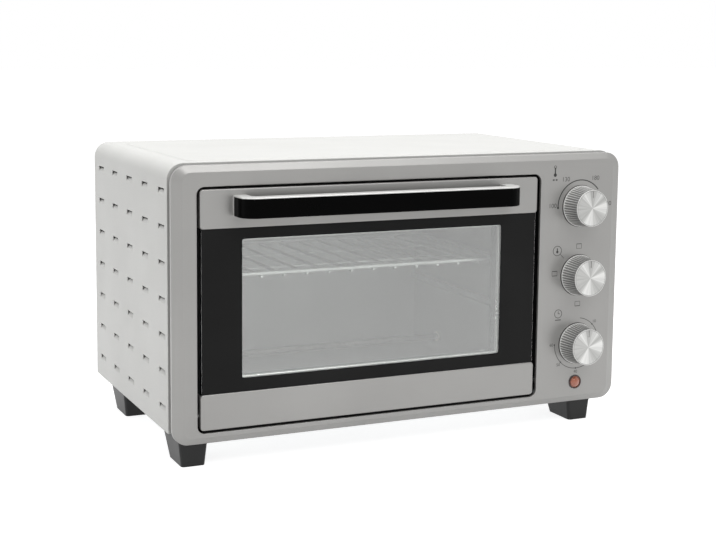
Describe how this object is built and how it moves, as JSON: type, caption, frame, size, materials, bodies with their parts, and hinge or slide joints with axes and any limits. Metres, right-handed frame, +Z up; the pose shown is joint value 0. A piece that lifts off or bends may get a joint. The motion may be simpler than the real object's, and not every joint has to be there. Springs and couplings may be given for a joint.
{
  "type": "mini oven",
  "caption": "Countertop mini oven: louvred sheet casing, drop-down glass door with bar handle, wire rack, rotary controls and indicator lamp in a column on the right, tapered feet.",
  "frame": {"origin": "under the middle of the overall box, on the surface that the feet stand on", "axes": "+Z up, +X to the right seen from the front, +Y into the oven, so the door faces -Y"},
  "size_m": [0.45, 0.2894, 0.2665],
  "materials": {
    "light_grey_enamel": "powder coated, satin",
    "silver_paint": "metallic lacquer, satin",
    "dark_steel": "black paint",
    "zinc_steel": "zinc coated sheet",
    "cavity_steel": "aluminised sheet",
    "bright_steel": "turned",
    "black_plastic": "moulded",
    "white_ceramic": "unglazed",
    "element_steel": "heat darkened",
    "chromed_wire": "plated",
    "door_glass": "tempered, black printed border",
    "handle_silver": "silver lacquer",
    "handle_black": "high gloss",
    "control_case": "moulded",
    "lamp_ring": "moulded",
    "lamp_lens": "translucent",
    "knob_silver": "silver lacquer",
    "spun_cap": "spun",
    "foot_plastic": "moulded, textured"
  },
  "bodies": {
    "oven": {"outer_cover": "light_grey_enamel", "fascia": "silver_paint", "front_frame": "dark_steel", "base_pan": "zinc_steel", "back_panel": "zinc_steel", "heat_shield": "zinc_steel", "cavity_liner": "cavity_steel", "hinge_bracket_left": "zinc_steel", "hinge_bracket_right": "zinc_steel", "cord_gland": "black_plastic", "element_insulators": "white_ceramic", "upper_front_element": "element_steel", "upper_rear_element": "element_steel", "lower_front_element": "element_steel", "lower_rear_element": "element_steel", "foot_screws": "bright_steel", "thermostat": "control_case", "function_switch": "control_case", "timer": "control_case", "lamp_holder": "black_plastic", "lamp_bezel": "lamp_ring", "lamp_lens": "lamp_lens", "front_left_foot": "foot_plastic", "front_right_foot": "foot_plastic", "rear_left_foot": "foot_plastic", "rear_right_foot": "foot_plastic"},
    "door": {"door_top_trim": "silver_paint", "door_bottom_trim": "silver_paint", "door_glass": "door_glass", "door_inner_frame": "cavity_steel", "handle": "handle_silver", "handle_insert": "handle_black", "handle_screws": "bright_steel", "hinge_pin_left": "bright_steel", "hinge_pin_right": "bright_steel"},
    "rack": {"wire_rack": "chromed_wire"},
    "temperature_control": {"temperature_knob": "knob_silver", "temperature_knob_cap": "spun_cap", "temperature_shaft": "bright_steel"},
    "function_control": {"function_knob": "knob_silver", "function_knob_cap": "spun_cap", "function_shaft": "bright_steel"},
    "timer_control": {"timer_knob": "knob_silver", "timer_knob_cap": "spun_cap", "timer_shaft": "bright_steel"}
  },
  "joints": [
    {"name": "door_hinge", "type": "hinge", "parent": "oven", "child": "door", "pos_m": [-0.0343, -0.11075, 0.0465], "axis": [1, 0, 0], "range_deg": [0, 90]},
    {"name": "rack_slide", "type": "slide", "parent": "oven", "child": "rack", "axis": [0, -1, 0], "range_m": [0, 0.151]},
    {"name": "temperature_turn", "type": "hinge", "parent": "oven", "child": "temperature_control", "pos_m": [0.18, -0.12875, 0.2141], "axis": [0, 1, 0], "range_deg": [-135, 95]},
    {"name": "function_turn", "type": "hinge", "parent": "oven", "child": "function_control", "pos_m": [0.18, -0.12875, 0.1473], "axis": [0, 1, 0], "range_deg": [-90, 180]},
    {"name": "timer_turn", "type": "hinge", "parent": "oven", "child": "timer_control", "pos_m": [0.18, -0.12875, 0.0805], "axis": [0, 1, 0], "range_deg": [0, 270]}
  ],
  "couplings": [
    {"joint": "rack_slide", "follows": "door_hinge", "m_per_rad": 0.0955}
  ]
}
